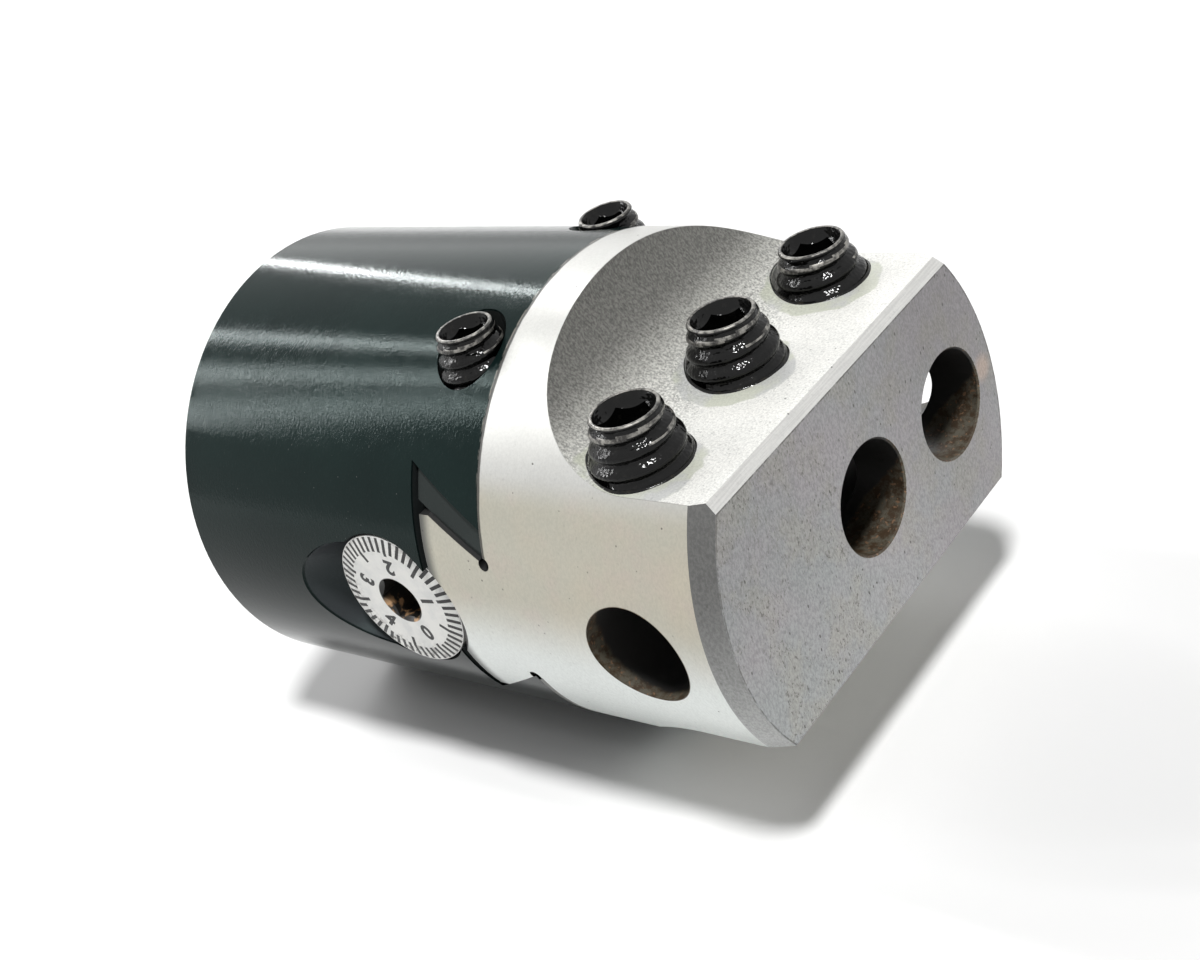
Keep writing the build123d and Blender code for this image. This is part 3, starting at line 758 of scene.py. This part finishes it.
def make_dial_marks():
    """The dial's divisions, as thin filled strips that follow its face and its bevel."""
    low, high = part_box("feed_screw")
    centre = (low + high) / 2
    dial_r = (high.x - low.x) / 2
    bevel_start = dial_r - DIAL_BEVEL_R
    verts, faces = [], []

    def height(r):
        return low.y + max(0.0, r - bevel_start) / DIAL_BEVEL_R * DIAL_BEVEL_Y - MARK_RISE

    for mark in range(DIAL_DIVISIONS):
        inner_r = MARK_UNIT_R
        if mark % 10 == 0:
            inner_r = MARK_TEN_R
        elif mark % 5 == 0:
            inner_r = MARK_FIVE_R
        angle = math.radians(DIAL_ZERO + 360 * mark / DIAL_DIVISIONS)
        radial = Vector((math.cos(angle), 0, math.sin(angle)))
        side = Vector((-math.sin(angle), 0, math.cos(angle))) * MARK_WIDTH / 2
        stops = [inner_r, dial_r - MARK_END]
        if inner_r < bevel_start:
            stops.insert(1, bevel_start)
        first = len(verts)
        for r in stops:
            middle = Vector((centre.x, height(r), centre.z)) + radial * r
            sunk = Vector((0, 4 * MARK_RISE, 0))
            verts += [middle - side, middle + side, middle + side + sunk, middle - side + sunk]
        for step in range(len(stops) - 1):
            at = first + 4 * step
            for corner in range(4):
                after = (corner + 1) % 4
                faces.append((at + corner, at + after, at + 4 + after, at + 4 + corner))
        faces.append((first, first + 3, first + 2, first + 1))
        last = len(verts) - 4
        faces.append((last, last + 1, last + 2, last + 3))
    new_piece("dial_marks", verts, faces, (MATERIALS["mark_ink"],), "dial")


def make_dial_figures():
    """Plain figures at every tenth division."""
    low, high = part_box("feed_screw")
    centre = (low + high) / 2
    for figure in range(FIGURES):
        angle = math.radians(DIAL_ZERO + 360 * figure / FIGURES)
        radial = Vector((math.cos(angle), 0, math.sin(angle)))
        curve = bpy.data.curves.new(f"figure_{figure}", "FONT")
        curve.body = str(figure)
        curve.size = FIGURE_SIZE
        curve.align_x = "CENTER"
        curve.align_y = "CENTER"
        curve.extrude = MARK_RISE
        curve.offset = FIGURE_BOLD
        text = bpy.data.objects.new(f"figure_{figure}_text", curve)
        bpy.context.scene.collection.objects.link(text)
        bpy.context.view_layer.update()
        depsgraph = bpy.context.evaluated_depsgraph_get()
        mesh = bpy.data.meshes.new_from_object(text.evaluated_get(depsgraph))
        bpy.data.objects.remove(text)
        up = -radial
        right = Vector((-math.sin(angle), 0, math.cos(angle)))
        turn = Matrix((right, up, Vector((0, -1, 0)))).transposed().to_4x4()
        place = Vector((centre.x, low.y, centre.z)) + radial * FIGURE_R
        mesh.transform(Matrix.Translation(place) @ turn)
        mesh.materials.clear()
        mesh.materials.append(MATERIALS["mark_ink"])
        piece = bpy.data.objects.new(f"dial_figure_{figure}", mesh)
        bpy.context.scene.collection.objects.link(piece)
        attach(piece, "dial")


def make_arbor_thread():
    """The thread in the arbor socket, as a ridge wound along its wall."""
    turns = (ARBOR_END_X - ARBOR_START_X) / ARBOR_PITCH - 1
    steps = int(turns * SIDES)
    corners = len(ARBOR_SECTION)
    verts, faces = [], []
    for step in range(steps + 1):
        angle = 2 * math.pi * step / SIDES
        grown = min(1.0, step / SIDES * 2, (steps - step) / SIDES * 2)
        for along, outward in ARBOR_SECTION:
            r = ARBOR_R + (outward * grown if outward < 0 else outward) * MM
            x = ARBOR_START_X + ARBOR_PITCH * (step / SIDES + 0.5) + along * ARBOR_PITCH
            verts.append((x, r * math.cos(angle), r * math.sin(angle)))
    for step in range(steps):
        for corner in range(corners - 1):
            at = step * corners + corner
            faces.append((at, at + 1, at + 1 + corners, at + corners))
    thread = new_piece("arbor_thread", verts, faces, (MATERIALS["black_oxide"],), "head")
    smooth(thread.data, 30)


def aim(obj, target):
    obj.rotation_euler = (target - obj.location).to_track_quat("-Z", "Y").to_euler()


def make_camera():
    azimuth = math.radians(CAMERA_AZIMUTH)
    elevation = math.radians(CAMERA_ELEVATION)
    across = math.cos(elevation)
    back = Vector((math.sin(azimuth) * across, -math.cos(azimuth) * across, math.sin(elevation)))
    camera = bpy.data.objects.new("camera", bpy.data.cameras.new("camera"))
    camera.data.sensor_fit = "HORIZONTAL"
    camera.data.sensor_width = SENSOR_WIDTH
    camera.data.lens = CAMERA_LENS
    camera.data.clip_start = CAMERA_CLIP_START
    camera.location = CAMERA_TARGET + back * CAMERA_DISTANCE
    level = (CAMERA_TARGET - camera.location).to_track_quat("-Z", "Y")
    roll = Matrix.Rotation(math.radians(CAMERA_ROLL), 3, "Z")
    camera.rotation_euler = (level.to_matrix() @ roll).to_euler()
    bpy.context.scene.collection.objects.link(camera)
    bpy.context.scene.camera = camera


def link_lamp(name, lamp, direction, distance):
    """Places a lamp in a direction from the middle of the head and turns it to the head."""
    holder = bpy.data.objects.new(name, lamp)
    middle = (cad_low + cad_high) / 2
    holder.location = middle + Vector(direction).normalized() * distance
    aim(holder, middle)
    bpy.context.scene.collection.objects.link(holder)


def seen_ray(tree):
    """One for the rays that show the background: the camera's, reflected ones and those through glass."""
    path = tree.nodes.new("ShaderNodeLightPath")
    seen = path.outputs["Is Camera Ray"]
    for ray in ("Is Glossy Ray", "Is Transmission Ray"):
        either = tree.nodes.new("ShaderNodeMath")
        either.operation = "MAXIMUM"
        tree.links.new(seen, either.inputs[0])
        tree.links.new(path.outputs[ray], either.inputs[1])
        seen = either.outputs[0]
    return seen


def make_stage():
    """A white table under a weak sky that is seen as white, a soft sun, a window and ceiling tubes."""
    z = cad_low.z
    corners = [(x * TABLE_REACH, y * TABLE_REACH, z) for x, y in ((-1, -1), (1, -1), (1, 1), (-1, 1))]
    mesh = bpy.data.meshes.new("table")
    mesh.from_pydata(corners, [], [(0, 1, 2, 3)])
    table = bpy.data.objects.new("table", mesh)
    bpy.context.scene.collection.objects.link(table)
    look = Look("table", (0.95, 0.95, 0.95), 0.0, 0.7, specular=0.1)
    look.set("Base Color", look.mix(look.noise(3.0, 2.0), (0.955, 0.955, 0.955), (0.97, 0.97, 0.965)))
    far = look.ramp(look.axis_distance((0, 0, 0), "Z"), TABLE_WHITE_FROM, TABLE_WHITE_TO)
    look.set("Emission Color", (1, 1, 1))
    look.set("Emission Strength", look.times(look.times(far, seen_ray(look.tree)), TABLE_LIFT))
    mesh.materials.append(look.material)

    world = bpy.data.worlds.new("studio")
    world.use_nodes = True
    bpy.context.scene.world = world
    sky = world.node_tree.nodes["Background"]
    sky.inputs["Color"].default_value = (1, 1, 1, 1)
    strength = world.node_tree.nodes.new("ShaderNodeMapRange")
    strength.inputs["To Min"].default_value = SKY
    strength.inputs["To Max"].default_value = 1.0
    world.node_tree.links.new(seen_ray(world.node_tree), strength.inputs["Value"])
    world.node_tree.links.new(strength.outputs["Result"], sky.inputs["Strength"])

    sun = bpy.data.lights.new("sun", "SUN")
    sun.energy = SUN
    sun.angle = math.radians(SUN_WIDTH)
    link_lamp("sun", sun, SUN_DIRECTION, SUN_DISTANCE)
    for number, direction in enumerate(TUBE_DIRECTIONS):
        tube = bpy.data.lights.new(f"tube_{number}", "AREA")
        tube.shape = "RECTANGLE"
        tube.size = TUBE_WIDTH
        tube.size_y = TUBE_LENGTH
        tube.energy = TUBE_POWER
        link_lamp(f"tube_{number}", tube, direction, TUBE_DISTANCE)
    window = bpy.data.lights.new("window", "AREA")
    window.shape = "SQUARE"
    window.size = WINDOW_SIZE
    window.energy = WINDOW_POWER
    link_lamp("window", window, WINDOW_DIRECTION, WINDOW_DISTANCE)
    bpy.context.scene.view_settings.view_transform = "Standard"


make_camera()
make_stage()
dress_frame()
for node, body in CLAMP_SCREWS.items():
    make_screw(node, body, CLAMP_FORM, dog=False)
for node, body in GIB_SCREWS.items():
    make_screw(node, body, GIB_FORM, dog=True)
for number, node in enumerate(CLAMP_SCREWS):
    make_oil_ring(node, OIL_TURN * number)
make_dial_marks()
make_dial_figures()
make_arbor_thread()
